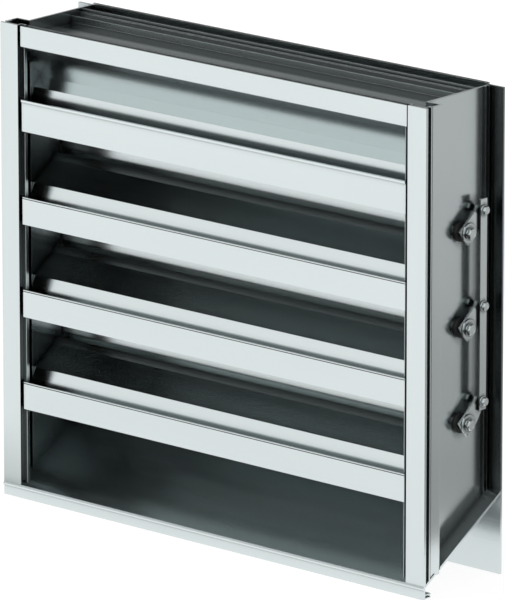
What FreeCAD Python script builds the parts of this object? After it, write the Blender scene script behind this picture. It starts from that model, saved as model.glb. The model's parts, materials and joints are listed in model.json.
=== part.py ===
import FreeCAD, Part
import math
import os
import Sketcher

document = FreeCAD.newDocument("louver_damper")
sheet = document.addObject("Spreadsheet::Sheet", "Sizes")

# Driving dimensions in millimetres and degrees. Depths run back from the front face of the jambs
# and heights run up from the base. Names that end in _back run forward from the rear face, and
# names that end in _drop run down from the top of the frame.
DRIVING_SIZES = {
    # Whole frame
    "frame_width": 717.2,
    "frame_depth": 152.4,
    "frame_height": 636.0,
    "jamb_drop": 2.3,
    "weld_gap": 0.1,
    "moving_gap": 0.3,
    # Jamb section
    "jamb_face_width": 30.0,
    "jamb_face_wall": 3.6,
    "edge_groove_end": 9.4,
    "edge_groove_cut": 4.4,
    "edge_fin_wall": 2.0,
    "second_groove_width": 2.0,
    "second_groove_cut": 2.8,
    "box_setback": 1.0,
    "box_wall": 2.6,
    "box_thick_end": 15.8,
    "box_thick_wall": 5.6,
    "box_end": 31.0,
    "web_inset": 22.0,
    "web_wall": 3.2,
    "web_thin_back": 18.4,
    "web_thinning": 1.4,
    "rear_flange_wall": 3.4,
    "rear_fin_wall": 1.8,
    "rear_fin_reach": 2.0,
    "rear_fin_one_back": 13.9,
    "rear_fin_two_back": 6.8,
    "hook_leg_wall": 2.6,
    "hook_end": 9.6,
    "hook_wall": 2.0,
    "hook_reach": 7.8,
    "hook_fin_start": 4.7,
    "hook_tip_wall": 0.6,
    "tab_start": 20.9,
    "tab_foot": 27.4,
    # Sill section
    "sill_front_height": 17.6,
    "sill_slope": 31.6,
    "sill_wall": 3.2,
    "sill_lip_wall": 2.5,
    "sill_lip_height": 12.2,
    "nose_reach": 1.6,
    "nose_low": 13.2,
    "nose_high": 15.4,
    "hem_end": 13.0,
    "hem_wall": 1.6,
    "hem_low": 1.0,
    "hem_high": 7.0,
    "hem_slot": 1.6,
    "sill_leg_wall": 3.0,
    # Fixed blades
    "lowest_blade_height": 121.2,
    "top_blade_drop": 142.5,
    "blade_setback": 2.0,
    "blade_face_wall": 2.2,
    "blade_lip_height": 36.5,
    "lip_bead_height": 1.3,
    "lip_groove_height": 1.2,
    "lip_groove_cut": 1.0,
    "blade_wall": 2.2,
    "gutter_height": 16.0,
    "gutter_lean": 14.0,
    "hump_start": 32.0,
    "hump_height": 49.1,
    "hump_radius": 0.8,
    "blade_slope": 34.0,
    "tail_start": 68.0,
    "tail_reach": 6.6,
    "tail_slope": 52.0,
    "face_plate_gap": 4.6,
    "hook_gap": 0.4,
    "top_lip_height": 42.0,
    "top_bead_height": 3.0,
    "top_bead_reach": 1.5,
    "top_gutter_lean": 8.0,
    "top_hump_height": 52.8,
    # Head section
    "head_face_start": 1.9,
    "head_face_wall": 2.5,
    "head_face_low_drop": 30.5,
    "head_face_high_drop": 3.2,
    "head_face_gap": 3.1,
    "head_floor_drop": 18.0,
    "head_wall": 3.0,
    "head_rib_start": 9.0,
    "head_rib_wall": 2.0,
    "head_rib_drop": 3.0,
    "head_step_back": 45.4,
    "head_step_wall": 2.6,
    "head_deck_drop": 8.5,
    "head_lip_back": 29.4,
    "head_lip_drop": 6.0,
    "head_channel_back": 25.4,
    "head_flange_wall": 3.0,
    # Closure plate between the head and the top blade
    "baffle_wall": 2.0,
    "baffle_slope": 48.0,
    "baffle_foot": 10.0,
    # Stops
    "stop_wall": 3.0,
    "stop_foot": 14.0,
    "stop_lap": 5.6,
    "sill_stop_lip": 12.0,
    "sill_stop_rake": 19.5,
    # Damper blades
    "pivot_depth": 94.3,
    "pivot_above_blade": 86.1,
    "damper_wall": 3.0,
    "damper_face_reach": 7.8,
    "damper_edge_gap": 0.05,
    "damper_lap": 3.95,
    "tip_height": 10.5,
    "hub_diameter": 15.0,
    "axle_diameter": 12.0,
    "press_gap": 0.02,
    "running_gap": 0.05,
    "blade_seal_wall": 1.2,
    "blade_seal_height": 6.0,
    "jamb_seal_wall": 1.2,
    "jamb_seal_width": 30.0,
    "seal_bush_gap": 1.0,
    # Bushes in the webs
    "bush_diameter": 18.0,
    "bush_flange_diameter": 26.0,
    "bush_flange_wall": 3.0,
    "bush_gap": 0.1,
    # Cranks and link
    "collar_diameter": 18.0,
    "collar_length": 6.1,
    "arm_wall": 3.0,
    "arm_width": 25.0,
    "arm_tail": 10.0,
    "arm_angle": 38.3,
    "arm_heel": 14.0,
    "arm_nose_radius": 8.4,
    "arm_nose_spread": 65.0,
    "crank_radius": 36.4,
    "crank_angle": 44.4,
    "square_drive": 9.0,
    "pivot_washer_diameter": 25.0,
    "pivot_washer_wall": 2.0,
    "pivot_bolt_diameter": 8.0,
    "pivot_bolt_length": 20.0,
    "pivot_head_flats": 16.0,
    "pivot_head_height": 5.5,
    "link_bar_width": 12.8,
    "link_bar_wall": 3.0,
    "link_bar_top": 14.5,
    "link_bar_foot": 11.0,
    "link_pin_diameter": 6.0,
    "open_pivot_gap": 0.2,
    "link_flange_diameter": 15.0,
    "link_flange_wall": 1.2,
    "link_head_flats": 10.0,
    "link_head_height": 4.0,
    "link_nut_height": 5.0,
    # Left ends of the axles
    "axle_end_reach": 3.0,
}
FIXED_BLADE_COUNT = 4
DAMPER_COUNT = 3
FULL_TURN = 360
HEXAGON_SIDES = 6


class Size:
    """A size kept both as a number and as the sheet's expression for it."""

    def __init__(self, text, value):
        self.text = text
        self.value = value

    def __add__(self, other):
        return joined(self, "+", other, self.value + sized(other).value)

    def __radd__(self, other):
        return sized(other) + self

    def __sub__(self, other):
        return joined(self, "-", other, self.value - sized(other).value)

    def __rsub__(self, other):
        return sized(other) - self

    def __mul__(self, other):
        return joined(self, "*", other, self.value * sized(other).value)

    def __rmul__(self, other):
        return sized(other) * self

    def __truediv__(self, other):
        return joined(self, "/", other, self.value / sized(other).value)

    def __neg__(self):
        return sized(0) - self


def sized(number):
    return number if isinstance(number, Size) else Size(repr(float(number)), float(number))


def joined(left, sign, right, value):
    return Size(f"({left.text} {sign} {sized(right).text})", value)


def sin(angle):
    return Size(f"sin({angle.text})", math.sin(math.radians(angle.value)))


def cos(angle):
    return Size(f"cos({angle.text})", math.cos(math.radians(angle.value)))


def tan(angle):
    return Size(f"tan({angle.text})", math.tan(math.radians(angle.value)))


class SizeTable:
    """The sheet's cells, each reachable by its alias."""

    def __init__(self, values):
        for row, (alias, value) in enumerate(values.items(), start=1):
            cell = f"B{row}"
            sheet.set(f"A{row}", alias)
            sheet.set(cell, str(value))
            sheet.setAlias(cell, alias)
            setattr(self, alias, Size(f"Sizes.{alias}", value))


size = SizeTable(DRIVING_SIZES)
document.recompute()

# Places that several pieces share
half_width = size.frame_width / 2
nose_front = sized(0) - size.nose_reach
frame_middle = (size.frame_depth + nose_front) / 2
web_outer = half_width - size.web_inset
web_inner = web_outer - size.web_wall
member_end = web_inner - size.weld_gap
hook_inner = half_width - size.jamb_face_width - size.hook_reach
hook_clear = hook_inner - size.hook_gap
hook_back = size.hook_end + size.hook_gap
slope_rise = tan(size.sill_slope)
sill_drop = size.sill_wall / cos(size.sill_slope)
blade_rise = tan(size.blade_slope)
blade_drop = size.blade_wall / cos(size.blade_slope)
jamb_height = size.frame_height - size.jamb_drop
head_floor = size.frame_height - size.head_floor_drop
head_underside = head_floor - size.head_wall
head_face_low = size.frame_height - size.head_face_low_drop
top_blade_height = size.frame_height - size.top_blade_drop
blade_pitch = (top_blade_height - size.lowest_blade_height) / (FIXED_BLADE_COUNT - 1)
lowest_pivot = size.lowest_blade_height + size.pivot_above_blade
highest_pivot = lowest_pivot + (DAMPER_COUNT - 1) * blade_pitch
damper_low = blade_pitch / 2 - size.damper_edge_gap
damper_high = blade_pitch / 2 + size.damper_lap
plate_front = -size.damper_face_reach
plate_back = plate_front + size.damper_wall
tip_jog = size.damper_wall + size.moving_gap + size.blade_seal_wall
sill_stop_top = lowest_pivot - damper_low + size.stop_lap
head_stop_foot = highest_pivot + damper_high - size.stop_lap
bush_face = web_outer + size.bush_flange_wall
damper_end = web_inner - size.jamb_seal_wall - size.moving_gap
collar_start = bush_face + size.moving_gap
arm_start = collar_start + size.collar_length
arm_face = arm_start + size.arm_wall
bar_start = arm_face + size.moving_gap
bar_face = bar_start + size.link_bar_wall
link_flange_start = bar_face + size.moving_gap
crank_back = size.crank_radius * cos(size.crank_angle)
crank_up = size.crank_radius * sin(size.crank_angle)
OUT_OF_THE_WAY = 10
SHORTEST_LONG_EDGE = 100


def sill_top(depth):
    """Height of the sill's sloped top surface at a depth."""
    return size.sill_front_height + sized(depth) * slope_rise


def make_body(name, up=None, back=None, across=None):
    """A body whose own origin stands at a named place of the frame."""
    body = document.addObject("PartDesign::Body", name)
    body.Label = name
    set_place(body, across, back, up)
    return body


def set_place(item, across, back, up):
    bind(item, "Placement.Base.x", sized(0) if across is None else across)
    bind(item, "Placement.Base.y", (sized(0) if back is None else back) - frame_middle)
    bind(item, "Placement.Base.z", sized(0) if up is None else up)


def bind(item, setting, value):
    item.setExpression(setting, sized(value).text)


def origin_part(body, role):
    return next(part for part in body.Origin.OriginFeatures if part.Role == role)


def new_sketch(body, plane, purpose):
    sketch = body.newObject("Sketcher::SketchObject", f"{body.Name}_{purpose}")
    sketch.AttachmentSupport = [(origin_part(body, plane), "")]
    sketch.MapMode = "FlatFace"
    return sketch


def pin_point(sketch, edge, end, place):
    """Bind one point of an edge to its distances from the sketch's origin."""
    for kind, value in zip(("DistanceX", "DistanceY"), place):
        number = sketch.addConstraint(Sketcher.Constraint(kind, -1, 1, edge, end, value.value))
        bind(sketch, f"Constraints[{number}]", value)


def add_loop(sketch, corners, arcs=None):
    """A closed outline; arcs names the sides that bend: side number to (centre, radius)."""
    arcs = arcs or {}
    corners = [(sized(across), sized(up)) for across, up in corners]
    places = [FreeCAD.Vector(across.value, up.value, 0) for across, up in corners]
    sides = []
    for index, start in enumerate(places):
        end = places[(index + 1) % len(places)]
        if index not in arcs:
            number = sketch.addGeometry(Part.LineSegment(start, end), False)
            sides.append((number, 1, 2))
            continue
        (centre_across, centre_up), radius = arcs[index]
        centre = FreeCAD.Vector(sized(centre_across).value, sized(centre_up).value, 0)
        from_start = math.atan2(start.y - centre.y, start.x - centre.x)
        from_end = math.atan2(end.y - centre.y, end.x - centre.x)
        forward = (from_end - from_start) % (2 * math.pi) < math.pi
        circle = Part.Circle(centre, FreeCAD.Vector(0, 0, 1), sized(radius).value)
        angles = (from_start, from_end) if forward else (from_end, from_start)
        number = sketch.addGeometry(Part.ArcOfCircle(circle, *angles), False)
        bend = sketch.addConstraint(Sketcher.Constraint("Radius", number, sized(radius).value))
        bind(sketch, f"Constraints[{bend}]", radius)
        sides.append((number, 1, 2) if forward else (number, 2, 1))
    for index, (number, first, last) in enumerate(sides):
        following = sides[(index + 1) % len(sides)]
        sketch.addConstraint(Sketcher.Constraint("Coincident", number, last, following[0], following[1]))
        pin_point(sketch, number, first, corners[index])


def add_circle(sketch, across, up, radius):
    across = sized(across)
    up = sized(up)
    radius = sized(radius)
    centre = FreeCAD.Vector(across.value, up.value, 0)
    circle = Part.Circle(centre, FreeCAD.Vector(0, 0, 1), radius.value)
    number = sketch.addGeometry(circle, False)
    bend = sketch.addConstraint(Sketcher.Constraint("Radius", number, radius.value))
    bind(sketch, f"Constraints[{bend}]", radius)
    pin_point(sketch, number, 3, (across, up))


def add_pad(body, sketch, length, both_ways=False):
    pad = body.newObject("PartDesign::Pad", f"{body.Name}_pad")
    pad.Profile = sketch
    pad.SideType = "Symmetric" if both_ways else "One side"
    bind(pad, "Length", length)
    return pad


def cut_through(body, sketch):
    """Cut a sketch through the whole body, both ways from its plane."""
    pocket = body.newObject("PartDesign::Pocket", f"{body.Name}_cut")
    pocket.Profile = sketch
    pocket.SideType = "Symmetric"
    pocket.Type = "ThroughAll"
    return pocket


def add_turned(body, stations):
    """A solid of revolution about X from (place along the axis, radius) stations."""
    sketch = new_sketch(body, "XY_Plane", "section")
    add_loop(sketch, stations)
    turned = body.newObject("PartDesign::Revolution", f"{body.Name}_turned")
    turned.Profile = sketch
    turned.ReferenceAxis = (origin_part(body, "X_Axis"), [""])
    turned.Angle = FULL_TURN
    return turned


def repeat_upward(body, feature):
    """Repeat a feature at each damper blade's pivot."""
    pattern = body.newObject("PartDesign::LinearPattern", f"{feature.Name}_pattern")
    pattern.Originals = [feature]
    pattern.Direction = (origin_part(body, "Z_Axis"), [""])
    bind(pattern, "Length", (DAMPER_COUNT - 1) * blade_pitch)
    pattern.Occurrences = DAMPER_COUNT
    body.Tip = pattern


def round_long_edges(body, radius, places):
    """Round the edges along the width that pass through the given (depth, height) places."""
    document.recompute()
    tolerance = 0.01
    sharp = body.Tip
    names = []
    for depth, up in places:
        for number, edge in enumerate(sharp.Shape.Edges, start=1):
            points = [vertex.Point for vertex in edge.Vertexes]
            if len(points) != 2 or abs(points[0].x - points[1].x) < SHORTEST_LONG_EDGE:
                continue
            if math.hypot(points[0].y - sized(depth).value, points[0].z - sized(up).value) < tolerance:
                names.append(f"Edge{number}")
    rounding = body.newObject("PartDesign::Fillet", f"{body.Name}_rounding")
    rounding.Base = (sharp, names)
    bind(rounding, "Radius", radius)
    return rounding


def hexagon(across_flats):
    """Corners of a hexagon about the origin, with two flats level."""
    side_turn = FULL_TURN / HEXAGON_SIDES
    corner_radius = sized(across_flats) / 2 / cos(sized(side_turn / 2))
    corners = []
    for number in range(HEXAGON_SIDES):
        angle = sized(side_turn * number)
        corners.append((corner_radius * cos(angle), corner_radius * sin(angle)))
    return corners


def rectangle(left, low, right, high):
    return [(left, low), (right, low), (right, high), (left, high)]


def mirrored(corners):
    return [(sized(0) - across, up) for across, up in corners]


# Frame members

def make_jamb(name, side):
    """Side member: face flange, grooved edge, hollow front box with inner hook, web and rear flange."""
    body = make_body(name)
    face_inner = size.jamb_face_width
    hook_far = face_inner + size.hook_reach
    leg_inner = face_inner - size.hook_leg_wall
    groove_fin_end = size.edge_groove_end + size.edge_fin_wall
    second_groove_end = groove_fin_end + size.second_groove_width
    box_back = size.box_end - size.box_wall
    box_inside = size.box_setback + size.box_wall
    box_thick = size.box_setback + size.box_thick_wall
    web_far = size.web_inset + size.web_wall
    thin_web = size.web_inset + size.web_thinning
    fin_tip = size.web_inset - size.rear_fin_reach
    thin_start = size.frame_depth - size.web_thin_back
    fin_one = size.frame_depth - size.rear_fin_one_back
    fin_two = size.frame_depth - size.rear_fin_two_back
    flange_start = size.frame_depth - size.rear_flange_wall
    insets = [
        (0, 0),
        (face_inner, 0),
        (face_inner, size.hook_end - size.hook_wall),
        (hook_far - size.hook_wall, size.hook_end - size.hook_wall),
        (hook_far - size.hook_tip_wall, size.hook_fin_start),
        (hook_far, size.hook_fin_start),
        (hook_far, size.hook_end),
        (leg_inner, size.hook_end),
        (leg_inner, size.jamb_face_wall),
        (box_thick, size.jamb_face_wall),
        (box_thick, size.box_thick_end),
        (box_inside, size.box_thick_end),
        (box_inside, box_back),
        (web_far, box_back),
        (web_far, size.frame_depth),
        (0, size.frame_depth),
        (0, flange_start),
        (thin_web, flange_start),
        (thin_web, fin_two + size.rear_fin_wall),
        (fin_tip, fin_two + size.rear_fin_wall),
        (fin_tip, fin_two),
        (thin_web, fin_two),
        (thin_web, fin_one + size.rear_fin_wall),
        (fin_tip, fin_one + size.rear_fin_wall),
        (fin_tip, fin_one),
        (thin_web, fin_one),
        (thin_web, thin_start),
        (size.web_inset, thin_start),
        (size.web_inset, size.box_end),
        (size.box_setback, size.box_end),
        (size.box_setback, second_groove_end),
        (size.second_groove_cut, second_groove_end),
        (size.second_groove_cut, groove_fin_end),
        (0, groove_fin_end),
        (0, size.edge_groove_end),
        (size.edge_groove_cut, size.edge_groove_end),
        (size.edge_groove_cut, size.jamb_face_wall),
        (0, size.jamb_face_wall),
    ]
    section = new_sketch(body, "XY_Plane", "section")
    add_loop(section, [(side * (half_width - inset), depth) for inset, depth in insets])
    add_pad(body, section, jamb_height)
    # The foot is cut along the sill's slope.
    foot = new_sketch(body, "YZ_Plane", "foot")
    front = sized(-OUT_OF_THE_WAY)
    rear = size.frame_depth + OUT_OF_THE_WAY
    add_loop(foot, [(front, front), (rear, front), (rear, sill_top(rear)), (front, sill_top(front))])
    cut_through(body, foot)
    # The outer wall of the box reaches down past the sill plate as a tab.
    tab = new_sketch(body, "XY_Plane", "tab")
    wall_outer = half_width - size.box_setback
    tab_corners = rectangle(wall_outer - size.box_wall, size.tab_start, wall_outer, size.box_end)
    add_loop(tab, [(side * across, depth) for across, depth in tab_corners])
    bind(tab, "AttachmentOffset.Base.z", size.tab_foot)
    add_pad(body, tab, sill_top(size.box_end) - size.tab_foot)
    # Bores for the bushes, one at each pivot.
    bores = new_sketch(body, "YZ_Plane", "bores")
    add_circle(bores, size.pivot_depth, lowest_pivot, size.bush_diameter / 2 + size.bush_gap)
    repeat_upward(body, cut_through(body, bores))
    return body


def make_sill():
    """Sloped bottom member with front lip, nose, hem and rear leg, notched for the jambs' tabs."""
    body = make_body("sill")
    leg_start = size.frame_depth - size.sill_leg_wall
    hem_front = size.sill_lip_wall
    hem_middle = (size.hem_low + size.hem_high) / 2
    corners = [
        (0, 0),
        (hem_front, 0),
        (hem_front, size.hem_low),
        (size.hem_end, size.hem_low),
        (size.hem_end, hem_middle - size.hem_slot / 2),
        (size.hem_end - size.hem_wall, hem_middle - size.hem_slot / 2),
        (size.hem_end - size.hem_wall, size.hem_low + size.hem_wall),
        (hem_front, size.hem_low + size.hem_wall),
        (hem_front, size.hem_high - size.hem_wall),
        (size.hem_end - size.hem_wall, size.hem_high - size.hem_wall),
        (size.hem_end - size.hem_wall, hem_middle + size.hem_slot / 2),
        (size.hem_end, hem_middle + size.hem_slot / 2),
        (size.hem_end, size.hem_high),
        (hem_front, size.hem_high),
        (hem_front, sill_top(hem_front) - sill_drop),
        (leg_start, sill_top(leg_start) - sill_drop),
        (leg_start, 0),
        (size.frame_depth, 0),
        (size.frame_depth, sill_top(size.frame_depth)),
        (0, sill_top(0)),
        (nose_front, size.nose_high),
        (nose_front, size.nose_low),
        (0, size.sill_lip_height),
    ]
    section = new_sketch(body, "YZ_Plane", "section")
    add_loop(section, corners)
    add_pad(body, section, size.frame_width, both_ways=True)
    notches = new_sketch(body, "XY_Plane", "notches")
    wall_inner = half_width - size.box_setback - size.box_wall
    notch = rectangle(wall_inner - size.moving_gap, size.tab_start - size.moving_gap,
                      half_width + OUT_OF_THE_WAY, size.box_end + size.moving_gap)
    add_loop(notches, notch)
    add_loop(notches, mirrored(notch))
    cut_through(body, notches)
    return body


def cut_hook_notches(body, plate_back, plate_end, clear_depth):
    """Clear both ends of a member round the jambs' hooks, leaving its face plate in front of them."""
    notches = new_sketch(body, "XY_Plane", "hook_notches")
    front = sized(-OUT_OF_THE_WAY)
    far = half_width + OUT_OF_THE_WAY
    corners = [(hook_clear, plate_back), (plate_end, plate_back), (plate_end, front), (far, front),
               (far, clear_depth), (hook_clear, clear_depth)]
    add_loop(notches, corners)
    add_loop(notches, mirrored(corners))
    return cut_through(body, notches)


def make_head():
    """Top member: face plate, two ribs, a tray, a raised deck and a rear channel with its flange."""
    body = make_body("head")
    face_back = size.head_face_start + size.head_face_wall
    face_high = size.frame_height - size.head_face_high_drop
    rib_end = size.head_rib_start + size.head_rib_wall
    rib_high = size.frame_height - size.head_rib_drop
    step = size.frame_depth - size.head_step_back
    deck = size.frame_height - size.head_deck_drop
    deck_under = deck - size.head_step_wall
    lip_start = size.frame_depth - size.head_lip_back
    lip_end = lip_start + size.head_rib_wall
    lip_high = size.frame_height - size.head_lip_drop
    channel_start = size.frame_depth - size.head_channel_back
    channel_rib_end = channel_start + size.head_rib_wall
    flange_start = size.frame_depth - size.head_flange_wall
    corners = [
        (size.head_face_start, head_face_low),
        (face_back, head_face_low),
        (face_back, head_underside),
        (step + size.head_step_wall, head_underside),
        (step + size.head_step_wall, deck_under),
        (channel_start, deck_under),
        (channel_start, head_underside),
        (size.frame_depth, head_underside),
        (size.frame_depth, size.frame_height),
        (flange_start, size.frame_height),
        (flange_start, head_floor),
        (channel_rib_end, head_floor),
        (channel_rib_end, jamb_height),
        (channel_start, jamb_height),
        (channel_start, deck),
        (lip_end, deck),
        (lip_end, lip_high),
        (lip_start, lip_high),
        (lip_start, deck),
        (step, deck),
        (step, head_floor),
        (rib_end, head_floor),
        (rib_end, rib_high),
        (size.head_rib_start, rib_high),
        (size.head_rib_start, head_floor),
        (face_back, head_floor),
        (face_back, face_high),
        (size.head_face_start, face_high),
    ]
    section = new_sketch(body, "YZ_Plane", "section")
    add_loop(section, corners)
    add_pad(body, section, 2 * member_end, both_ways=True)
    plate_end = half_width - size.jamb_face_width - size.head_face_gap
    cut_hook_notches(body, face_back, plate_end, rib_end + size.hook_gap)
    return body


def make_fixed_blade(number):
    """Drainable louver blade: face lip, gutter, hump and a slope that rises to an upturned tail."""
    top = number == 1
    up = size.lowest_blade_height + (FIXED_BLADE_COUNT - number) * blade_pitch
    body = make_body(f"fixed_blade_{number}", up=up)
    lip_height = size.top_lip_height if top else size.blade_lip_height
    hump_height = size.top_hump_height if top else size.hump_height
    lean = size.top_gutter_lean if top else size.gutter_lean
    lean_rate = tan(lean)
    lean_wall = size.blade_wall / cos(lean)
    face_back = size.blade_setback + size.blade_face_wall
    gutter_top = size.gutter_height + size.blade_wall
    tail_rate = tan(size.tail_slope)
    tail_end = size.tail_start + size.tail_reach
    # Inner corners, where the two walls' undersides meet.
    hump_inside = size.hump_start + (lean_wall - blade_drop * lean_rate) / (1 - blade_rise * lean_rate)
    tail_drop = size.blade_wall / cos(size.tail_slope)
    tail_inside = size.tail_start + (tail_drop - blade_drop) / (tail_rate - blade_rise)

    def slope_top(depth):
        return hump_height + (depth - size.hump_start) * blade_rise

    def gutter_rear(up):
        """Depth of the gutter's leaning rear wall at a height."""
        return size.hump_start - (hump_height - up) * lean_rate

    tail_top = slope_top(size.tail_start) + size.tail_reach * tail_rate
    corners = [
        (size.blade_setback, 0),
        (face_back, 0),
        (face_back, size.gutter_height),
        (gutter_rear(size.gutter_height) + lean_wall, size.gutter_height),
        (hump_inside, slope_top(hump_inside) - blade_drop),
        (tail_inside, slope_top(tail_inside) - blade_drop),
        (
            tail_end + size.blade_wall * sin(size.tail_slope),
            tail_top - size.blade_wall * cos(size.tail_slope),
        ),
        (tail_end, tail_top),
        (size.tail_start, slope_top(size.tail_start)),
        (size.hump_start, hump_height),
        (gutter_rear(gutter_top), gutter_top),
        (face_back, gutter_top),
        (face_back, lip_height),
    ]
    if top:
        bead_front = size.blade_setback - size.top_bead_reach
        corners += [
            (bead_front, lip_height),
            (bead_front, lip_height - size.top_bead_height),
            (size.blade_setback, lip_height - size.top_bead_height),
        ]
    else:
        groove_high = lip_height - size.lip_bead_height
        groove_low = groove_high - size.lip_groove_height
        corners += [
            (size.blade_setback, lip_height),
            (size.blade_setback, groove_high),
            (size.blade_setback + size.lip_groove_cut, groove_high),
            (size.blade_setback + size.lip_groove_cut, groove_low),
            (size.blade_setback, groove_low),
        ]
    section = new_sketch(body, "YZ_Plane", "section")
    add_loop(section, corners)
    add_pad(body, section, 2 * member_end, both_ways=True)
    cut_hook_notches(body, face_back, half_width - size.jamb_face_width - size.face_plate_gap, hook_back)
    round_long_edges(body, size.hump_radius, [(size.hump_start, hump_height)])
    return body


def make_head_baffle():
    """Bent plate that closes the space between the head and the top blade."""
    body = make_body("head_baffle")
    leg_front = size.head_face_start + size.head_face_wall
    fall_rate = tan(size.baffle_slope)
    closing_rate = fall_rate + blade_rise
    slope_at_leg = top_blade_height + size.top_hump_height + (leg_front - size.hump_start) * blade_rise
    foot_start = leg_front + (head_face_low - slope_at_leg) / closing_rate
    foot_up = head_face_low - (foot_start - leg_front) * fall_rate
    foot_end = foot_start + size.baffle_foot * cos(size.blade_slope)
    foot_end_up = foot_up + size.baffle_foot * sin(size.blade_slope)
    # Walls measured straight up on the falling plate and on the foot.
    plate_up = size.baffle_wall / cos(size.baffle_slope)
    foot_wall_up = size.baffle_wall / cos(size.blade_slope)
    inner_bend = (plate_up - foot_wall_up) / closing_rate
    corners = [
        (leg_front, head_face_low),
        (foot_start, foot_up),
        (foot_end, foot_end_up),
        (foot_end, foot_end_up + foot_wall_up),
        (foot_start + inner_bend, foot_up + inner_bend * blade_rise + foot_wall_up),
        (leg_front + size.baffle_wall, head_face_low + plate_up - size.baffle_wall * fall_rate),
        (leg_front + size.baffle_wall, head_underside),
        (leg_front, head_underside),
    ]
    section = new_sketch(body, "YZ_Plane", "section")
    add_loop(section, corners)
    add_pad(body, section, 2 * member_end, both_ways=True)
    notches = new_sketch(body, "XY_Plane", "hook_notches")
    corners = rectangle(hook_clear, sized(-OUT_OF_THE_WAY), half_width, hook_back)
    add_loop(notches, corners)
    add_loop(notches, mirrored(corners))
    cut_through(body, notches)
    return body


def make_head_stop():
    """Angle under the head that the top damper blade's edge closes against."""
    body = make_body("head_stop")
    back = size.pivot_depth + plate_back
    front = back - size.stop_wall
    corners = [
        (front, head_stop_foot),
        (back, head_stop_foot),
        (back, head_underside - size.stop_wall),
        (front + size.stop_foot, head_underside - size.stop_wall),
        (front + size.stop_foot, head_underside),
        (front, head_underside),
    ]
    section = new_sketch(body, "YZ_Plane", "section")
    add_loop(section, corners)
    add_pad(body, section, 2 * member_end, both_ways=True)
    return body


def make_sill_stop():
    """Plate on the sill, raked forward to the lip that the lowest damper blade's edge closes against."""
    body = make_body("sill_stop")
    front = size.pivot_depth + plate_back + size.moving_gap
    back = front + size.stop_wall
    lip_low = sill_stop_top - size.sill_stop_lip
    rake_rate = tan(size.sill_stop_rake)
    raked_wall = size.stop_wall / cos(size.sill_stop_rake)
    foot_wall = size.stop_wall / cos(size.sill_slope)

    def raked_depth(start, above):
        """Depth where a raked face that starts under the lip meets a line above the sill's slope."""
        fall = lip_low - size.sill_front_height - above
        return (start + fall * rake_rate) / (slope_rise * rake_rate + 1)

    foot_start = raked_depth(front, 0)
    foot_end = foot_start + size.stop_foot
    foot_inside = raked_depth(front + raked_wall, foot_wall)
    corners = [
        (foot_start, sill_top(foot_start)),
        (foot_end, sill_top(foot_end)),
        (foot_end, sill_top(foot_end) + foot_wall),
        (foot_inside, sill_top(foot_inside) + foot_wall),
        (back, lip_low + (raked_wall - size.stop_wall) / rake_rate),
        (back, sill_stop_top),
        (front, sill_stop_top),
        (front, lip_low),
    ]
    section = new_sketch(body, "YZ_Plane", "section")
    add_loop(section, corners)
    add_pad(body, section, 2 * member_end, both_ways=True)
    return body


def make_jamb_seal(name, side):
    """Thin strips between the bushes, on the web's inner face, that the damper blades' ends run against."""
    inner = web_inner - size.jamb_seal_wall
    body = make_body(name, back=size.pivot_depth, across=inner if side > 0 else -web_inner)
    body.AllowCompound = True
    strips = new_sketch(body, "YZ_Plane", "strips")
    half_strip = size.jamb_seal_width / 2
    clearance = size.bush_diameter / 2 + size.seal_bush_gap
    low = sill_stop_top + size.moving_gap
    for number in range(DAMPER_COUNT):
        pivot = lowest_pivot + number * blade_pitch
        add_loop(strips, rectangle(-half_strip, low, half_strip, pivot - clearance))
        low = pivot + clearance
    add_loop(strips, rectangle(-half_strip, low, half_strip, head_stop_foot - size.moving_gap))
    add_pad(body, strips, size.jamb_seal_wall)
    return body


# Damper blades and what turns with them

def pivot_height(number):
    return lowest_pivot + (DAMPER_COUNT - number) * blade_pitch


def pivot_body(name, number):
    """A body whose origin is on the axis of one damper blade."""
    return make_body(name, up=pivot_height(number), back=size.pivot_depth)


def make_damper_blade(number):
    """Blade plate in front of its hub tube, with an upper edge jogged to lap the blade above."""
    body = pivot_body(f"damper_blade_{number}", number)
    jog_low = damper_high - size.tip_height
    tip_front = plate_front + tip_jog
    tip_back = plate_back + tip_jog
    corners = [
        (plate_front, -damper_low),
        (plate_back, -damper_low),
        (plate_back, jog_low - size.damper_wall),
        (tip_back, jog_low - size.damper_wall),
        (tip_back, damper_high),
        (tip_front, damper_high),
        (tip_front, jog_low),
        (plate_front, jog_low),
    ]
    section = new_sketch(body, "YZ_Plane", "section")
    add_loop(section, corners)
    add_pad(body, section, 2 * damper_end, both_ways=True)
    hub = new_sketch(body, "YZ_Plane", "hub")
    add_circle(hub, 0, 0, size.hub_diameter / 2)
    add_pad(body, hub, 2 * damper_end, both_ways=True)
    bore = new_sketch(body, "YZ_Plane", "bore")
    add_circle(bore, 0, 0, size.axle_diameter / 2 + size.press_gap)
    cut_through(body, bore)
    return body


def make_blade_seal(number):
    """Soft strip on the lapped upper edge."""
    body = pivot_body(f"blade_seal_{number}", number)
    back = plate_front + tip_jog
    section = new_sketch(body, "YZ_Plane", "section")
    add_loop(section, rectangle(back - size.blade_seal_wall, damper_high - size.blade_seal_height,
                                back, damper_high))
    add_pad(body, section, 2 * damper_end, both_ways=True)
    return body


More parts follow.
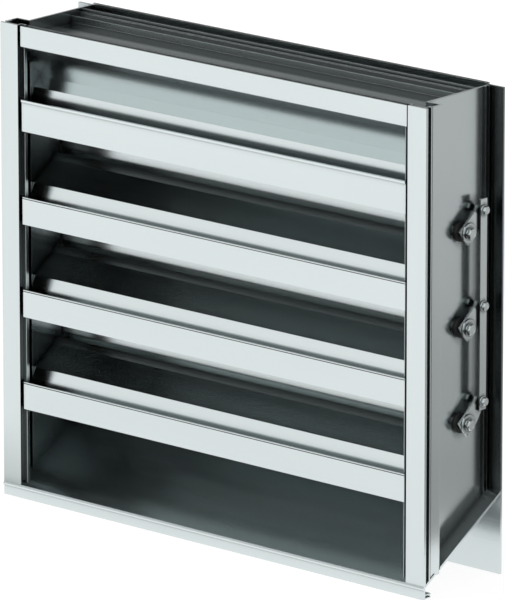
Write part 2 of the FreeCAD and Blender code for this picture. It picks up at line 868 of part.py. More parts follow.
def make_axle(number):
    """Axle through the hub, with a collar, a square end and a bolt bore on the arm's side."""
    body = pivot_body(f"axle_{number}", number)
    radius = size.axle_diameter / 2
    plain_end = bush_face + size.axle_end_reach
    hole = size.pivot_bolt_diameter / 2 + size.press_gap
    hole_end = arm_face - size.pivot_bolt_length - size.moving_gap
    stations = [
        (-plain_end, 0),
        (-plain_end, radius),
        (collar_start, radius),
        (collar_start, size.collar_diameter / 2),
        (arm_start, size.collar_diameter / 2),
        (arm_start, hole),
        (hole_end, hole),
        (hole_end, 0),
    ]
    add_turned(body, stations)
    square = new_sketch(body, "YZ_Plane", "square")
    half_square = size.square_drive / 2
    add_loop(square, rectangle(-half_square, -half_square, half_square, half_square))
    add_circle(square, 0, 0, hole)
    bind(square, "AttachmentOffset.Base.z", arm_start)
    add_pad(body, square, size.arm_wall - size.weld_gap)
    return body


def make_crank_arm(number):
    """Flat arm with a square-cut tail at the axle and a round nose at the link pin."""
    body = make_body(f"crank_arm_{number}", up=pivot_height(number), back=size.pivot_depth,
                     across=arm_start)
    along = (cos(size.arm_angle), sin(size.arm_angle))
    half_arm = size.arm_width / 2

    def arm_point(forward, aside):
        return (forward * along[0] - aside * along[1], forward * along[1] + aside * along[0])

    def nose_point(angle):
        return (crank_back + size.arm_nose_radius * cos(angle), crank_up + size.arm_nose_radius * sin(angle))

    corners = [
        arm_point(-size.arm_tail, half_arm),
        arm_point(-size.arm_tail, -half_arm),
        arm_point(size.arm_heel, -half_arm),
        nose_point(size.arm_angle - size.arm_nose_spread),
        nose_point(size.arm_angle + 90),
    ]
    plate = new_sketch(body, "YZ_Plane", "outline")
    add_loop(plate, corners, arcs={3: ((crank_back, crank_up), size.arm_nose_radius)})
    half_hole = size.square_drive / 2 + size.running_gap
    add_loop(plate, rectangle(-half_hole, -half_hole, half_hole, half_hole))
    add_circle(plate, crank_back, crank_up, size.link_pin_diameter / 2 + size.press_gap)
    add_pad(body, plate, size.arm_wall)
    return body


def make_pivot_washer(number):
    """Wide washer that holds the arm on the axle's square end."""
    body = pivot_body(f"pivot_washer_{number}", number)
    end = arm_face + size.pivot_washer_wall
    bore = size.pivot_bolt_diameter / 2 + size.running_gap
    rim = size.pivot_washer_diameter / 2
    add_turned(body, [(arm_face, bore), (end, bore), (end, rim), (arm_face, rim)])
    return body


def add_hexagon_head(body, start, flats, height):
    head = new_sketch(body, "YZ_Plane", "head")
    add_loop(head, hexagon(flats))
    bind(head, "AttachmentOffset.Base.z", start)
    add_pad(body, head, height)


def make_pivot_bolt(number):
    """Bolt into the axle's end, over the washer."""
    body = pivot_body(f"pivot_bolt_{number}", number)
    radius = size.pivot_bolt_diameter / 2
    head_start = arm_face + size.pivot_washer_wall
    shank_end = head_start - size.pivot_bolt_length
    add_turned(body, [(shank_end, 0), (shank_end, radius), (head_start, radius), (head_start, 0)])
    add_hexagon_head(body, head_start, size.pivot_head_flats, size.pivot_head_height)
    return body


def make_link_bolt(number):
    """Flanged bolt that pins the link bar to the arm."""
    body = make_body(f"link_bolt_{number}", up=pivot_height(number) + crank_up,
                     back=size.pivot_depth + crank_back)
    radius = size.link_pin_diameter / 2
    rim = size.link_flange_diameter / 2
    head_start = link_flange_start + size.link_flange_wall
    shank_end = arm_start - size.link_nut_height - size.moving_gap
    stations = [
        (shank_end, 0),
        (shank_end, radius),
        (link_flange_start, radius),
        (link_flange_start, rim),
        (head_start, rim),
        (head_start, 0),
    ]
    add_turned(body, stations)
    add_hexagon_head(body, head_start, size.link_head_flats, size.link_head_height)
    return body


def make_link_nut(number):
    """Hexagon nut behind the arm on the link bolt."""
    body = make_body(f"link_nut_{number}", up=pivot_height(number) + crank_up,
                     back=size.pivot_depth + crank_back, across=arm_start - size.link_nut_height)
    nut = new_sketch(body, "YZ_Plane", "outline")
    add_loop(nut, hexagon(size.link_head_flats))
    add_circle(nut, 0, 0, size.link_pin_diameter / 2 + size.press_gap)
    add_pad(body, nut, size.link_nut_height)
    return body


def make_link_bar():
    """Flat bar that joins the three arms; its two lower holes are the freed pivots."""
    body = make_body("link_bar", up=pivot_height(1) + crank_up, back=size.pivot_depth + crank_back,
                     across=bar_start)
    half_bar = size.link_bar_width / 2
    reach = (DAMPER_COUNT - 1) * blade_pitch
    outline = new_sketch(body, "YZ_Plane", "outline")
    add_loop(outline, rectangle(-half_bar, -reach - size.link_bar_foot, half_bar, size.link_bar_top))
    for number in range(DAMPER_COUNT):
        gap = size.running_gap if number == 0 else size.open_pivot_gap
        add_circle(outline, 0, -number * blade_pitch, size.link_pin_diameter / 2 + gap)
    add_pad(body, outline, size.link_bar_wall)
    return body


def make_bushes(name, side):
    """Flanged bushes in one web, one at each pivot, with their flanges outside."""
    body = make_body(name, up=lowest_pivot, back=size.pivot_depth)
    body.AllowCompound = True
    bore = size.axle_diameter / 2 + size.running_gap
    section = [
        (web_inner, bore),
        (bush_face, bore),
        (bush_face, size.bush_flange_diameter / 2),
        (web_outer, size.bush_flange_diameter / 2),
        (web_outer, size.bush_diameter / 2),
        (web_inner, size.bush_diameter / 2),
    ]
    repeat_upward(body, add_turned(body, [(side * along, radius) for along, radius in section]))
    return body


parts = [
    make_jamb("jamb_left", -1),
    make_jamb("jamb_right", 1),
    make_sill(),
    make_head(),
    make_head_baffle(),
    make_head_stop(),
    make_sill_stop(),
    make_jamb_seal("jamb_seal_left", -1),
    make_jamb_seal("jamb_seal_right", 1),
    make_bushes("bearings_left", -1),
    make_bushes("bearings_right", 1),
]
for blade_number in range(1, FIXED_BLADE_COUNT + 1):
    parts.append(make_fixed_blade(blade_number))
for pivot_number in range(1, DAMPER_COUNT + 1):
    parts.append(make_damper_blade(pivot_number))
    parts.append(make_blade_seal(pivot_number))
    parts.append(make_axle(pivot_number))
    parts.append(make_crank_arm(pivot_number))
    parts.append(make_pivot_washer(pivot_number))
    parts.append(make_pivot_bolt(pivot_number))
    parts.append(make_link_bolt(pivot_number))
    parts.append(make_link_nut(pivot_number))
parts.append(make_link_bar())
document.recompute()

# Pieces made of several equal ones, with their number of solids
GROUPS = {
    "jamb_seal_left": DAMPER_COUNT + 1,
    "jamb_seal_right": DAMPER_COUNT + 1,
    "bearings_left": DAMPER_COUNT,
    "bearings_right": DAMPER_COUNT,
}
faults = [item.Name for item in document.Objects if {"Invalid", "Error"} & set(item.State)]
if faults:
    raise RuntimeError("these objects failed: " + ", ".join(faults))
for part in parts:
    if part.Shape.isNull() or not part.Shape.isValid():
        raise RuntimeError("this piece has no valid shape: " + part.Label)
    if len(part.Shape.Solids) != GROUPS.get(part.Label, 1):
        raise RuntimeError("this piece has a wrong number of solids: " + part.Label)

os.makedirs("parts", exist_ok=True)
for part in parts:
    part.Shape.exportStep(f"parts/{part.Label}.step")
    box = part.Shape.BoundBox
    print(f"{part.Label}: x {box.XMin:.2f} to {box.XMax:.2f}, y {box.YMin:.2f} to {box.YMax:.2f}, "
          f"z {box.ZMin:.2f} to {box.ZMax:.2f}, volume {part.Shape.Volume:.0f}")
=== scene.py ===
import json
import math

import bmesh
import bpy
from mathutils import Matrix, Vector


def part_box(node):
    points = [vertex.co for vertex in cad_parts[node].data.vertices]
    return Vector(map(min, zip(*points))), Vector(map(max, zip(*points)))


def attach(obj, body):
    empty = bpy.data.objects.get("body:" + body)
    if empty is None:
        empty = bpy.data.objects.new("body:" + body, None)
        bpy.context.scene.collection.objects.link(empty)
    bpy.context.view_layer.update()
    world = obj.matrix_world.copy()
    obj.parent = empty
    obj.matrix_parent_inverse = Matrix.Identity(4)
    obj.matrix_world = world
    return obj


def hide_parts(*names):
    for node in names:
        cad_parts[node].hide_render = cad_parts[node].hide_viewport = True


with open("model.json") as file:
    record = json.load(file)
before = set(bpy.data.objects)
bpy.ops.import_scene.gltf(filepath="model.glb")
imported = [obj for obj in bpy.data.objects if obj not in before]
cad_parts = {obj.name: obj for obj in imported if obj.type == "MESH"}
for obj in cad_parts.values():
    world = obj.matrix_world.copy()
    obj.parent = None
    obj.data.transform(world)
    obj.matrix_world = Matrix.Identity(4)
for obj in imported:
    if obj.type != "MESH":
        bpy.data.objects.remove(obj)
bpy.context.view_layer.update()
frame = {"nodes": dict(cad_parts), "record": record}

MM = 0.001
WHITE = (1, 1, 1, 1)

# Camera at the photograph's place, in millimetres and degrees
CAMERA_PLACE = (6647.5, -7569.5, 3036.5)
CAMERA_TURN = 41.252
CAMERA_DOWN = 15.14
CAMERA_ROLL = 0.025
FOCAL_PIXELS = 8173.0
PICTURE_HEIGHT = 600
SENSOR = 36.0

# Noise: the part of its range that is spread over a finish
NOISE_LOW = 0.3
NOISE_HIGH = 0.7

# Samples of the shader nodes that look around a point
HOLLOW_SAMPLES = 8
EDGE_SAMPLES = 4

# Extruded metal: tones, gloss, and noise scales across and along the extrusion
MILL_DARK = (0.67, 0.73, 0.733)
MILL_LIGHT = (0.70, 0.76, 0.763)
MILL_ROUGHNESS = (0.16, 0.24)
MILL_BUMP = 0.25
LINES_ACROSS = 2400.0
LINES_ALONG = 3.0
CLOUDS_ACROSS = 9.0
CLOUDS_ALONG = 1.5
LINE_RELIEF = 0.00002
GRAIN_RELIEF = 0.00005

# Rounding of edges, in metres
MILL_EDGE = 0.0005
HEAD_EDGE = 0.0013
PLAIN_EDGE = 0.0007
HEAD_GRAZE = 0.42

# Height of a face's normal where it starts to count as turned up or down for the painted shade, and where it
# fully does
TURN_START = 0.35
TURN_FULL = 0.5

# Where the painted shade begins and is complete, in metres along the frame's axes
UNDER_HEAD_RISE = (0.575, 0.590)
TRAY_BACK_START = (-0.004, 0.006)
FLANGE_START = (0.0705, 0.0720)
FLANGE_END = (0.0764, 0.0758)

# Rain gutters, darkened with painted shade: upper ends, distance between them, and their band below the
# upper end and behind the lip
TOP_GUTTER_END = 0.5375
SINGLE_PITCH = 1.0
GUTTER_END = 0.4040
BLADE_PITCH = 0.1241
GUTTER_FOOT = (0.048, 0.042)
GUTTER_BRIM = 0.003
GUTTER_FRONT = -0.070
GUTTER_FADE = 0.004

# Bolts, in mm: seat is along X, the collar tapers from its rim to its neck
RING_POINTS = 72
BOLTS = {
    "pivot_bolt": {"seat": 351.02, "thread": 4.0, "collar": 1.5, "rim": 7.6, "neck": 6.0, "flats": 13.0},
    "link_bolt": {"seat": 352.6, "thread": 3.0, "collar": 1.3, "rim": 7.0, "neck": 4.9, "flats": 10.0},
}
TIP_CHAMFER = 0.6
RIM_INSET = 0.2
RIM_START = 0.25
RIM_END = 0.6
NECK_STEP = 0.05
CROWN_SHARE = 0.93
CORNER_DROP = 0.25
CORNER_SLOPE = 0.55
DISH_EDGE = 0.75
DISH_FLOOR = 0.7
DISH_DEPTH = 0.15

# Stage, in metres: floor, world and key lamp
FLOOR_REACH = 12.0
FLOOR_TONE = 0.9
FLOOR_GLOW = 0.9
FLOOR_FAINT_TONE = 0.2
WORLD_LEVEL = 0.6
KEY_PLACE = (-2.2, -3.2, 2.6)
KEY_AIM = (0, 0, 0.3)
KEY_SIDE = 2.0
KEY_POWER = 40

# Cards that the metal mirrors: name, centre, half-lengths across and up, and level
CARDS = [
    ("card_over", (-2.3, 2.3, 2.6), (3.8, 0, 0), (0, 3.7, 0), 0.045),
    ("card_over_right", (2.5, 2.8, 2.6), (1.0, 0, 0), (0, 3.15, 0), 0.045),
    ("card_over_front", (-2.3, -1.8, 2.6), (3.8, 0, 0), (0, 0.4, 0), 0.25),
    ("card_rear", (-1, 3.2, 1.6), (6, 0, 0), (0, 0, 1.6), 0.4),
]
# Grey sheets just over the floor on the right, seen only in reflections as painted shade of the floor,
# darker near the louver and paler with distance: near and far side along Y, and level
RIGHT_REAR_BANDS = [
    (0.0, 0.45, 0.37),
    (0.45, 0.95, 0.41),
    (0.95, 1.5, 0.50),
    (1.5, 3.15, 0.57),
]
RIGHT_CARD_MIDDLE = 2.4
RIGHT_CARD_HALF = 1.9
LOW_CARD_HEIGHT = 0.004
RIGHT_FRONT_MIDDLE = -1.6
RIGHT_FRONT_HALF = 1.6
RIGHT_FRONT_LEVEL = 0.03


def add_camera():
    """The camera of the photograph, with a long lens."""
    data = bpy.data.cameras.new("camera")
    data.sensor_fit = "AUTO"
    data.sensor_width = SENSOR
    data.lens = FOCAL_PIXELS * SENSOR / PICTURE_HEIGHT
    camera = bpy.data.objects.new("camera", data)
    camera.location = Vector(CAMERA_PLACE) * MM
    camera.rotation_euler = (
        math.radians(90 - CAMERA_DOWN),
        math.radians(CAMERA_ROLL),
        math.radians(CAMERA_TURN),
    )
    bpy.context.scene.collection.objects.link(camera)
    bpy.context.scene.camera = camera


class Nodes:
    """The node tree of a material or world, with a short way to add and join nodes."""

    def __init__(self, owner, output):
        owner.use_nodes = True
        self.owner = owner
        self.tree = owner.node_tree
        self.tree.nodes.clear()
        self.output = self.add(output)

    def add(self, kind, **settings):
        node = self.tree.nodes.new(kind)
        for key, value in settings.items():
            if key in node.inputs:
                node.inputs[key].default_value = value
            else:
                setattr(node, key, value)
        return node

    def join(self, source, target):
        self.tree.links.new(source, target)


def material_nodes(name):
    """A new material's nodes."""
    return Nodes(bpy.data.materials.new(name), "ShaderNodeOutputMaterial")


def split_place(nodes):
    """The point's place in the frame, split into its three axes."""
    place = nodes.add("ShaderNodeTexCoord")
    split = nodes.add("ShaderNodeSeparateXYZ")
    nodes.join(place.outputs["Object"], split.inputs["Vector"])
    return split


def stretched_noise(nodes, scale, detail):
    """Noise stretched along one axis of the frame, as the drawn marks of an extrusion are."""
    place = nodes.add("ShaderNodeTexCoord")
    mapping = nodes.add("ShaderNodeMapping")
    mapping.inputs["Scale"].default_value = scale
    nodes.join(place.outputs["Object"], mapping.inputs["Vector"])
    noise = nodes.add("ShaderNodeTexNoise", Scale=1.0, Detail=detail, Roughness=0.5)
    nodes.join(mapping.outputs["Vector"], noise.inputs["Vector"])
    return noise.outputs["Fac"]


def ranged(nodes, source, low, high):
    """Noise spread between two values."""
    span = nodes.add("ShaderNodeMapRange")
    span.inputs["From Min"].default_value = NOISE_LOW
    span.inputs["From Max"].default_value = NOISE_HIGH
    span.inputs["To Min"].default_value = low
    span.inputs["To Max"].default_value = high
    nodes.join(source, span.inputs["Value"])
    return span.outputs["Result"]


def tinted(nodes, source, dark, light):
    """Noise spread between two colours."""
    ramp = nodes.add("ShaderNodeValToRGB")
    ramp.color_ramp.elements[0].position = NOISE_LOW
    ramp.color_ramp.elements[0].color = (*dark, 1)
    ramp.color_ramp.elements[1].position = NOISE_HIGH
    ramp.color_ramp.elements[1].color = (*light, 1)
    nodes.join(source, ramp.inputs["Fac"])
    return ramp.outputs["Color"]


def hollow_shade(nodes, reach, lowest, power, alone):
    """How open a point is, from lowest in a tight groove to 1 on an open face: a painted shade for hollows.

    alone counts the point's own piece only.
    """
    opening = nodes.add("ShaderNodeAmbientOcclusion", Distance=reach, only_local=alone)
    opening.samples = HOLLOW_SAMPLES
    curve = nodes.add("ShaderNodeMath", operation="POWER")
    nodes.join(opening.outputs["AO"], curve.inputs[0])
    curve.inputs[1].default_value = power
    span = nodes.add("ShaderNodeMapRange")
    span.inputs["To Min"].default_value = lowest
    nodes.join(curve.outputs[0], span.inputs["Value"])
    return span.outputs["Result"]


def darkened(nodes, colour, shade, amount=None):
    """The colour multiplied by a shade, a number or a socket, as much as amount says."""
    mix = nodes.add("ShaderNodeMix", data_type="RGBA", blend_type="MULTIPLY")
    mix.inputs["Factor"].default_value = 1.0
    if amount is not None:
        nodes.join(amount, mix.inputs["Factor"])
    nodes.join(colour, mix.inputs[6])
    if isinstance(shade, float):
        mix.inputs[7].default_value = (shade, shade, shade, 1)
    else:
        nodes.join(shade, mix.inputs[7])
    return mix.outputs[2]


def stepped(nodes, source, start, full):
    """An even rise from 0 at start to 1 at full, which may lie on either side of it."""
    span = nodes.add("ShaderNodeMapRange")
    span.inputs["From Min"].default_value = start
    span.inputs["From Max"].default_value = full
    nodes.join(source, span.inputs["Value"])
    return span.outputs["Result"]


def facing(nodes, start, full):
    """0 to 1 as the height of a face's normal goes from start to full."""
    place = nodes.add("ShaderNodeNewGeometry")
    split = nodes.add("ShaderNodeSeparateXYZ")
    nodes.join(place.outputs["True Normal"], split.inputs["Vector"])
    return stepped(nodes, split.outputs["Z"], start, full)


def along_axis(nodes, axis, start, full):
    """0 to 1 between two places along one axis of the frame."""
    return stepped(nodes, split_place(nodes).outputs[axis], start, full)


def multiplied(nodes, first, second):
    """The product of two masks."""
    product = nodes.add("ShaderNodeMath", operation="MULTIPLY")
    nodes.join(first, product.inputs[0])
    nodes.join(second, product.inputs[1])
    return product.outputs[0]


def in_gutter(nodes, upper_end, pitch):
    """1 inside the rain gutters, which end at one height and at each pitch above and below it: where their
    painted shade goes.
    """
    split = split_place(nodes)
    shift = nodes.add("ShaderNodeMath", operation="SUBTRACT")
    nodes.join(split.outputs["Z"], shift.inputs[0])
    shift.inputs[1].default_value = upper_end
    turns = nodes.add("ShaderNodeMath", operation="FLOORED_MODULO")
    nodes.join(shift.outputs[0], turns.inputs[0])
    turns.inputs[1].default_value = pitch
    low = stepped(nodes, turns.outputs[0], pitch - GUTTER_FOOT[0], pitch - GUTTER_FOOT[1])
    high = stepped(nodes, turns.outputs[0], pitch, pitch - GUTTER_BRIM)
    behind = stepped(nodes, split.outputs["Y"], GUTTER_FRONT, GUTTER_FRONT + GUTTER_FADE)
    return multiplied(nodes, multiplied(nodes, low, high), behind)


def rounded_edges(nodes, radius, relief):
    """Light caught along the edges, as their small rounding catches it."""
    edge = nodes.add("ShaderNodeBevel")
    edge.samples = EDGE_SAMPLES
    edge.inputs["Radius"].default_value = radius
    nodes.join(edge.outputs["Normal"], relief.inputs["Normal"])


def finished(nodes, shader, source, bump, depth, edge):
    """The material of a shader, once its relief and rounded edges are joined to it."""
    relief = nodes.add("ShaderNodeBump", Strength=bump, Distance=depth)
    rounded_edges(nodes, edge, relief)
    nodes.join(source, relief.inputs["Height"])
    nodes.join(relief.outputs["Normal"], shader.inputs["Normal"])
    nodes.join(shader.outputs["BSDF"], nodes.output.inputs["Surface"])
    return nodes.owner


def drawn_metal(name, along, shades, alone=False, edge=MILL_EDGE, graze=1.0):
    """Extruded metal: fine die lines along one axis, a slow change of tone, and painted shade.

    Each shade comes from hollow or dimmed. alone counts a piece's own hollows only, and graze is
    how bright the metal stays at a grazing look.
    """
    nodes = material_nodes(name)
    line_scale = tuple(LINES_ALONG if axis == along else LINES_ACROSS for axis in "XYZ")
    cloud_scale = tuple(CLOUDS_ALONG if axis == along else CLOUDS_ACROSS for axis in "XYZ")
    lines = stretched_noise(nodes, line_scale, 2.0)
    clouds = stretched_noise(nodes, cloud_scale, 3.0)
    shader = nodes.add("ShaderNodeBsdfPrincipled", Metallic=1.0)
    shader.inputs["Specular Tint"].default_value = (graze, graze, graze, 1)
    colour = tinted(nodes, clouds, MILL_DARK, MILL_LIGHT)
    for reach, lowest, power, mask in shades:
        amount = mask(nodes) if mask else None
        shade = hollow_shade(nodes, reach, lowest, power, alone) if reach else lowest
        colour = darkened(nodes, colour, shade, amount)
    nodes.join(colour, shader.inputs["Base Color"])
    nodes.join(ranged(nodes, lines, *MILL_ROUGHNESS), shader.inputs["Roughness"])
    return finished(nodes, shader, lines, MILL_BUMP, LINE_RELIEF, edge)


def plain_finish(name, dark, light, metallic, roughness, grain, bump, shade=None):
    """An even finish with fine grain in its tone, gloss and relief, and, with a shade, painted shade in its
    hollows.
    """
    nodes = material_nodes(name)
    grains = stretched_noise(nodes, (grain, grain, grain), 4.0)
    shader = nodes.add("ShaderNodeBsdfPrincipled", Metallic=metallic)
    colour = tinted(nodes, grains, dark, light)
    if shade:
        colour = darkened(nodes, colour, hollow_shade(nodes, *shade, False))
    nodes.join(colour, shader.inputs["Base Color"])
    nodes.join(ranged(nodes, grains, *roughness), shader.inputs["Roughness"])
    return finished(nodes, shader, grains, bump, GRAIN_RELIEF, PLAIN_EDGE)


def hollow(reach, lowest, power, mask=None):
    """A painted shade that darkens hollows, everywhere or in a mask."""
    return reach, lowest, power, mask


def dimmed(tone, mask):
    """A painted shade that darkens a whole mask to one tone."""
    return 0, tone, 0, mask


# Masks of the painted shade: faces turned up, faces not turned up, faces turned down, the baffle under the
# head, the back of the head's tray, the front of the jamb's rear flange, and the rain gutters.
def upward(nodes):
    return facing(nodes, TURN_START, TURN_FULL)


def not_upward(nodes):
    return facing(nodes, TURN_FULL, TURN_START)


def downward(nodes):
    return facing(nodes, -TURN_START, -TURN_FULL)


def under_head(nodes):
    return along_axis(nodes, "Z", *UNDER_HEAD_RISE)


def tray_back(nodes):
    return multiplied(nodes, along_axis(nodes, "Y", *TRAY_BACK_START), upward(nodes))


def flange_front(nodes):
    return multiplied(nodes, along_axis(nodes, "Y", *FLANGE_START), along_axis(nodes, "Y", *FLANGE_END))


def top_gutter(nodes):
    return in_gutter(nodes, TOP_GUTTER_END, SINGLE_PITCH)


def gutters(nodes):
    return in_gutter(nodes, GUTTER_END, BLADE_PITCH)


def make_materials():
    """All finishes, with painted shade in their base colours. The masks darken places that mirror darker
    surroundings than the cards give.
    """
    # Painted shade in grooves, and on faces turned up where the blade above hangs over them.
    groove_shade = hollow(0.008, 0.1, 2.0)
    slope_shade = hollow(0.11, 0.5, 0.8, upward)
    return {
        "head": drawn_metal(
            "mill_aluminium_head", "X", [hollow(0.008, 0.4, 1.0), dimmed(0.2, tray_back)],
            edge=HEAD_EDGE, graze=HEAD_GRAZE,
        ),
        "baffle": drawn_metal("mill_aluminium_baffle", "X", [hollow(0.02, 0.1, 2.4, under_head)]),
        "top_blade": drawn_metal(
            "mill_aluminium_top_blade", "X",
            [hollow(0.008, 0.1, 2.0, not_upward), dimmed(0.45, downward), dimmed(0.4, top_gutter)],
        ),
        "blade": drawn_metal(
            "mill_aluminium_blades", "X", [groove_shade, slope_shade, dimmed(0.5, downward), dimmed(0.4, gutters)],
        ),
        "low_blade": drawn_metal("mill_aluminium_low_blade", "X", [groove_shade, slope_shade, dimmed(0.4, gutters)]),
        "sill": drawn_metal("mill_aluminium_sill", "X", [hollow(0.03, 0.1, 1.4)], alone=True),
        "jamb_left": drawn_metal(
            "mill_aluminium_left", "Z", [hollow(0.03, 0.1, 1.3), hollow(0.12, 0.3, 1.0)],
        ),
        "jamb": drawn_metal(
            "mill_aluminium_upright", "Z", [hollow(0.015, 0.1, 1.6), dimmed(0.4, flange_front)],
        ),
        "damper": drawn_metal("mill_aluminium_damper", "X", [hollow(0.025, 0.04, 4.0)]),
        # The steel's shade is painted shade in its hollows, as round the washers and bolt heads.
        "steel": plain_finish(
            "zinc_plated_steel", (0.66, 0.71, 0.715), (0.74, 0.79, 0.795),
            metallic=1.0, roughness=(0.14, 0.22), grain=900.0, bump=0.2, shade=(0.007, 0.05, 2.2),
        ),
        "strip": plain_finish(
            "stainless_strip", (0.40, 0.41, 0.41), (0.46, 0.47, 0.47),
            metallic=1.0, roughness=(0.3, 0.4), grain=700.0, bump=0.3,
        ),
        "bush": plain_finish(
            "moulded_acetal", (0.02, 0.02, 0.022), (0.035, 0.035, 0.037),
            metallic=0.0, roughness=(0.35, 0.5), grain=1200.0, bump=0.4,
        ),
        "rubber": plain_finish(
            "seal_rubber", (0.012, 0.012, 0.012), (0.03, 0.03, 0.03),
            metallic=0.0, roughness=(0.6, 0.8), grain=1500.0, bump=0.6,
        ),
    }


# Finishes of single nodes, and of all others by their slot
FINISHES = {
    "jamb_left": "jamb_left",
    "jamb_right": "jamb",
    "head": "head",
    "head_baffle": "baffle",
    "head_stop": "baffle",
    "fixed_blade_1": "top_blade",
    "fixed_blade_4": "low_blade",
}
SLOT_FINISHES = {
    "frame_aluminium": "sill",
    "louver_aluminium": "blade",
    "damper_aluminium": "damper",
    "plated_steel": "steel",
    "bush_plastic": "bush",
    "seal_rubber": "rubber",
    "seal_steel": "strip",
}


def paint_nodes(materials):
    """Give every CAD node its finish."""
    for row in frame["record"]["subparts"]:
        node = frame["nodes"][row["node"]]
        key = FINISHES.get(row["node"], SLOT_FINISHES[row["material_slot"]])
        node.data.materials.clear()
        node.data.materials.append(materials[key])
        for polygon in node.data.polygons:
            polygon.material_index = 0


def turned_rings(rings):
    """Vertices and faces of a closed form from rings of points around the X axis, in metres."""
    count = len(rings[0])
    points = [point for ring_points in rings for point in ring_points]
    faces = []
    for row in range(len(rings) - 1):
        here = row * count
        beyond = here + count
        for number in range(count):
            after = (number + 1) % count
            faces.append((here + number, here + after, beyond + after, beyond + number))
    faces.append(tuple(reversed(range(count))))
    faces.append(tuple(range((len(rings) - 1) * count, len(rings) * count)))
    return points, faces


def ring(centre, across, radius):
    """A ring of points round an axis along X, in metres.

    across and radius are in mm, numbers or functions of the angle.
    """
    points = []
    for number in range(RING_POINTS):
        angle = 2 * math.pi * number / RING_POINTS
        here = across(angle) if callable(across) else across
        reach = radius(angle) if callable(radius) else radius
        depth = centre[0] + reach * math.cos(angle)
        up = centre[1] + reach * math.sin(angle)
        points.append((here * MM, depth * MM, up * MM))
    return points


def hexagon_reach(flats):
    """Distance from the axis to a hexagon's side, two flats of which are level."""
    sixth = math.pi / 3

    def reach(angle):
        return flats / 2 / math.cos((angle + sixth) % sixth - sixth / 2)

    return reach


def bolt_rings(start, head_end, centre, sizes):
    """Rings of a bolt from its tip to its head: shank, domed collar and a hexagon with chamfered corners."""
    seat = sizes["seat"]
    thread = sizes["thread"]
    rim = sizes["rim"]
    neck = sizes["neck"]
    collar_end = seat + sizes["collar"]
    reach = hexagon_reach(sizes["flats"])
    crown = sizes["flats"] / 2 * CROWN_SHARE

    def shoulder(angle):
        return head_end - CORNER_DROP - (reach(angle) - crown) * CORNER_SLOPE

    def within_neck(angle):
        return min(neck, reach(angle))

    steps = [
        (start, thread - TIP_CHAMFER),
        (start + TIP_CHAMFER, thread),
        (seat, thread),
        (seat, rim - RIM_INSET),
        (seat + RIM_START, rim),
        (seat + RIM_END, rim),
        (collar_end, neck),
        (collar_end, within_neck),
        (collar_end + NECK_STEP, reach),
        (shoulder, reach),
        (head_end, crown),
        (head_end, crown * DISH_EDGE),
        (head_end - DISH_DEPTH, crown * DISH_FLOOR),
    ]
    return [ring(centre, across, radius) for across, radius in steps]


def add_bolt(kind, number, material):
    """A bolt with a finely shaped head, in the place of the CAD node of that kind and number."""
    node = f"{kind}_{number}"
    low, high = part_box(node)
    centre = ((low[1] + high[1]) / 2 / MM, (low[2] + high[2]) / 2 / MM)
    name = f"{kind}_detail_{number}"
    mesh = bpy.data.meshes.new(name)
    points, faces = turned_rings(bolt_rings(low[0] / MM, high[0] / MM, centre, BOLTS[kind]))
    mesh.from_pydata(points, [], faces)
    shape = bmesh.new()
    shape.from_mesh(mesh)
    bmesh.ops.remove_doubles(shape, verts=shape.verts, dist=0.000001)
    bmesh.ops.recalc_face_normals(shape, faces=shape.faces)
    shape.to_mesh(mesh)
    shape.free()
    bolt = bpy.data.objects.new(name, mesh)
    mesh.materials.append(material)
    bpy.context.scene.collection.objects.link(bolt)
    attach(bolt, f"blade_{number}")
    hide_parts(node)


def add_bolts(material):
    """The pivot bolt, of ordinary M8 size, and the smaller link bolt of each damper blade."""
    for number in range(1, 4):
        for kind in BOLTS:
            add_bolt(kind, number, material)


def glow(name, level):
    """A plain white light of one level."""
    nodes = material_nodes(name)
    shader = nodes.add("ShaderNodeEmission", Color=WHITE, Strength=level)
    nodes.join(shader.outputs["Emission"], nodes.output.inputs["Surface"])
    return nodes.owner


def add_card(name, centre, across, up, level):
    """A plain studio card, seen only in reflections; across and up are its half-lengths as vectors."""
    centre = Vector(centre)
    across = Vector(across)
    up = Vector(up)
    corners = [centre - across - up, centre + across - up, centre + across + up, centre - across + up]
    mesh = bpy.data.meshes.new(name)
    mesh.from_pydata(corners, [], [(0, 1, 2, 3)])
    card = bpy.data.objects.new(name, mesh)
    card.data.materials.append(glow(name + "_tone", level))
    card.visible_camera = False
    card.visible_shadow = False
    card.visible_diffuse = False
    bpy.context.scene.collection.objects.link(card)


def seen_rays(nodes):
    """1 for the camera, reflections and transmission, 0 for all other rays."""
    rays = nodes.add("ShaderNodeLightPath")
    first = nodes.add("ShaderNodeMath", operation="MAXIMUM")
    nodes.join(rays.outputs["Is Camera Ray"], first.inputs[0])
    nodes.join(rays.outputs["Is Glossy Ray"], first.inputs[1])
    either = nodes.add("ShaderNodeMath", operation="MAXIMUM")
    nodes.join(first.outputs[0], either.inputs[0])
    nodes.join(rays.outputs["Is Transmission Ray"], either.inputs[1])
    return either.outputs[0]


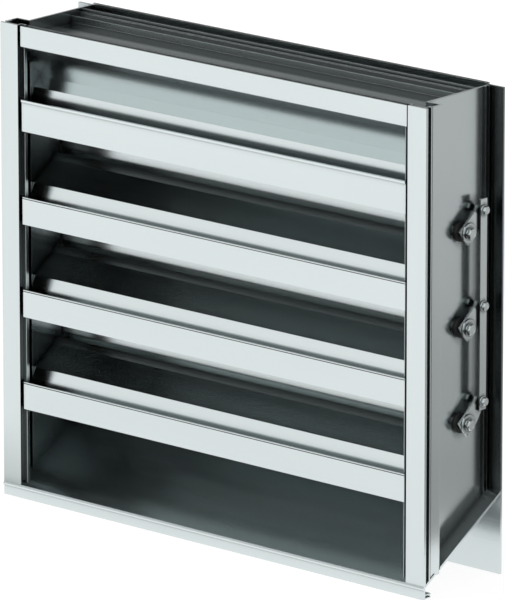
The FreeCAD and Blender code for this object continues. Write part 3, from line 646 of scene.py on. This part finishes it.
def add_floor():
    """Pale floor that the louver stands on: white to the camera, with the object's soft shadow kept."""
    corners = [
        (-FLOOR_REACH, -FLOOR_REACH, 0),
        (FLOOR_REACH, -FLOOR_REACH, 0),
        (FLOOR_REACH, FLOOR_REACH, 0),
        (-FLOOR_REACH, FLOOR_REACH, 0),
    ]
    mesh = bpy.data.meshes.new("floor")
    mesh.from_pydata(corners, [], [(0, 1, 2, 3)])
    floor = bpy.data.objects.new("floor", mesh)
    nodes = material_nodes("pale_floor")
    matt = nodes.add("ShaderNodeBsdfDiffuse", Color=(FLOOR_TONE, FLOOR_TONE, FLOOR_TONE, 1))
    white = nodes.add("ShaderNodeEmission", Color=WHITE, Strength=FLOOR_GLOW)
    both = nodes.add("ShaderNodeAddShader")
    faint_tone = (FLOOR_FAINT_TONE, FLOOR_FAINT_TONE, FLOOR_FAINT_TONE, 1)
    faint = nodes.add("ShaderNodeBsdfDiffuse", Color=faint_tone)
    nodes.join(white.outputs["Emission"], both.inputs[0])
    nodes.join(faint.outputs["BSDF"], both.inputs[1])
    choice = nodes.add("ShaderNodeMixShader")
    nodes.join(seen_rays(nodes), choice.inputs["Fac"])
    nodes.join(matt.outputs["BSDF"], choice.inputs[1])
    nodes.join(both.outputs["Shader"], choice.inputs[2])
    nodes.join(choice.outputs["Shader"], nodes.output.inputs["Surface"])
    floor.data.materials.append(nodes.owner)
    bpy.context.scene.collection.objects.link(floor)


def set_world():
    """Plain soft light from all round; white behind the object and in its reflections."""
    world = bpy.data.worlds.new("studio")
    bpy.context.scene.world = world
    nodes = Nodes(world, "ShaderNodeOutputWorld")
    dim = nodes.add("ShaderNodeBackground", Color=WHITE, Strength=WORLD_LEVEL)
    white = nodes.add("ShaderNodeBackground", Color=WHITE, Strength=1.0)
    mix = nodes.add("ShaderNodeMixShader")
    nodes.join(seen_rays(nodes), mix.inputs["Fac"])
    nodes.join(dim.outputs["Background"], mix.inputs[1])
    nodes.join(white.outputs["Background"], mix.inputs[2])
    nodes.join(mix.outputs["Shader"], nodes.output.inputs["Surface"])


def add_key_lamp():
    """A large soft lamp from the front left, not seen in reflections."""
    data = bpy.data.lights.new("key", "AREA")
    data.shape = "RECTANGLE"
    data.size = KEY_SIDE
    data.size_y = KEY_SIDE
    data.energy = KEY_POWER
    lamp = bpy.data.objects.new("key", data)
    lamp.location = KEY_PLACE
    lamp.rotation_euler = (Vector(KEY_AIM) - Vector(KEY_PLACE)).to_track_quat("-Z", "Y").to_euler()
    lamp.visible_glossy = False
    bpy.context.scene.collection.objects.link(lamp)


def add_cards():
    """Dark cards overhead, a grey one behind, and low ones on the right, the rear ones a painted shade of
    the floor.
    """
    for card in CARDS:
        add_card(*card)
    across = (RIGHT_CARD_HALF, 0, 0)
    for number, (near, far, level) in enumerate(RIGHT_REAR_BANDS, 1):
        centre = (RIGHT_CARD_MIDDLE, (near + far) / 2, LOW_CARD_HEIGHT)
        add_card(f"card_right_rear_{number}", centre, across, (0, (far - near) / 2, 0), level)
    centre = (RIGHT_CARD_MIDDLE, RIGHT_FRONT_MIDDLE, LOW_CARD_HEIGHT)
    add_card("card_right_front", centre, across, (0, RIGHT_FRONT_HALF, 0), RIGHT_FRONT_LEVEL)


add_camera()
materials = make_materials()
paint_nodes(materials)
add_bolts(materials["steel"])
add_floor()
set_world()
add_key_lamp()
add_cards()
bpy.context.scene.view_settings.view_transform = "Standard"

bpy.context.view_layer.update()
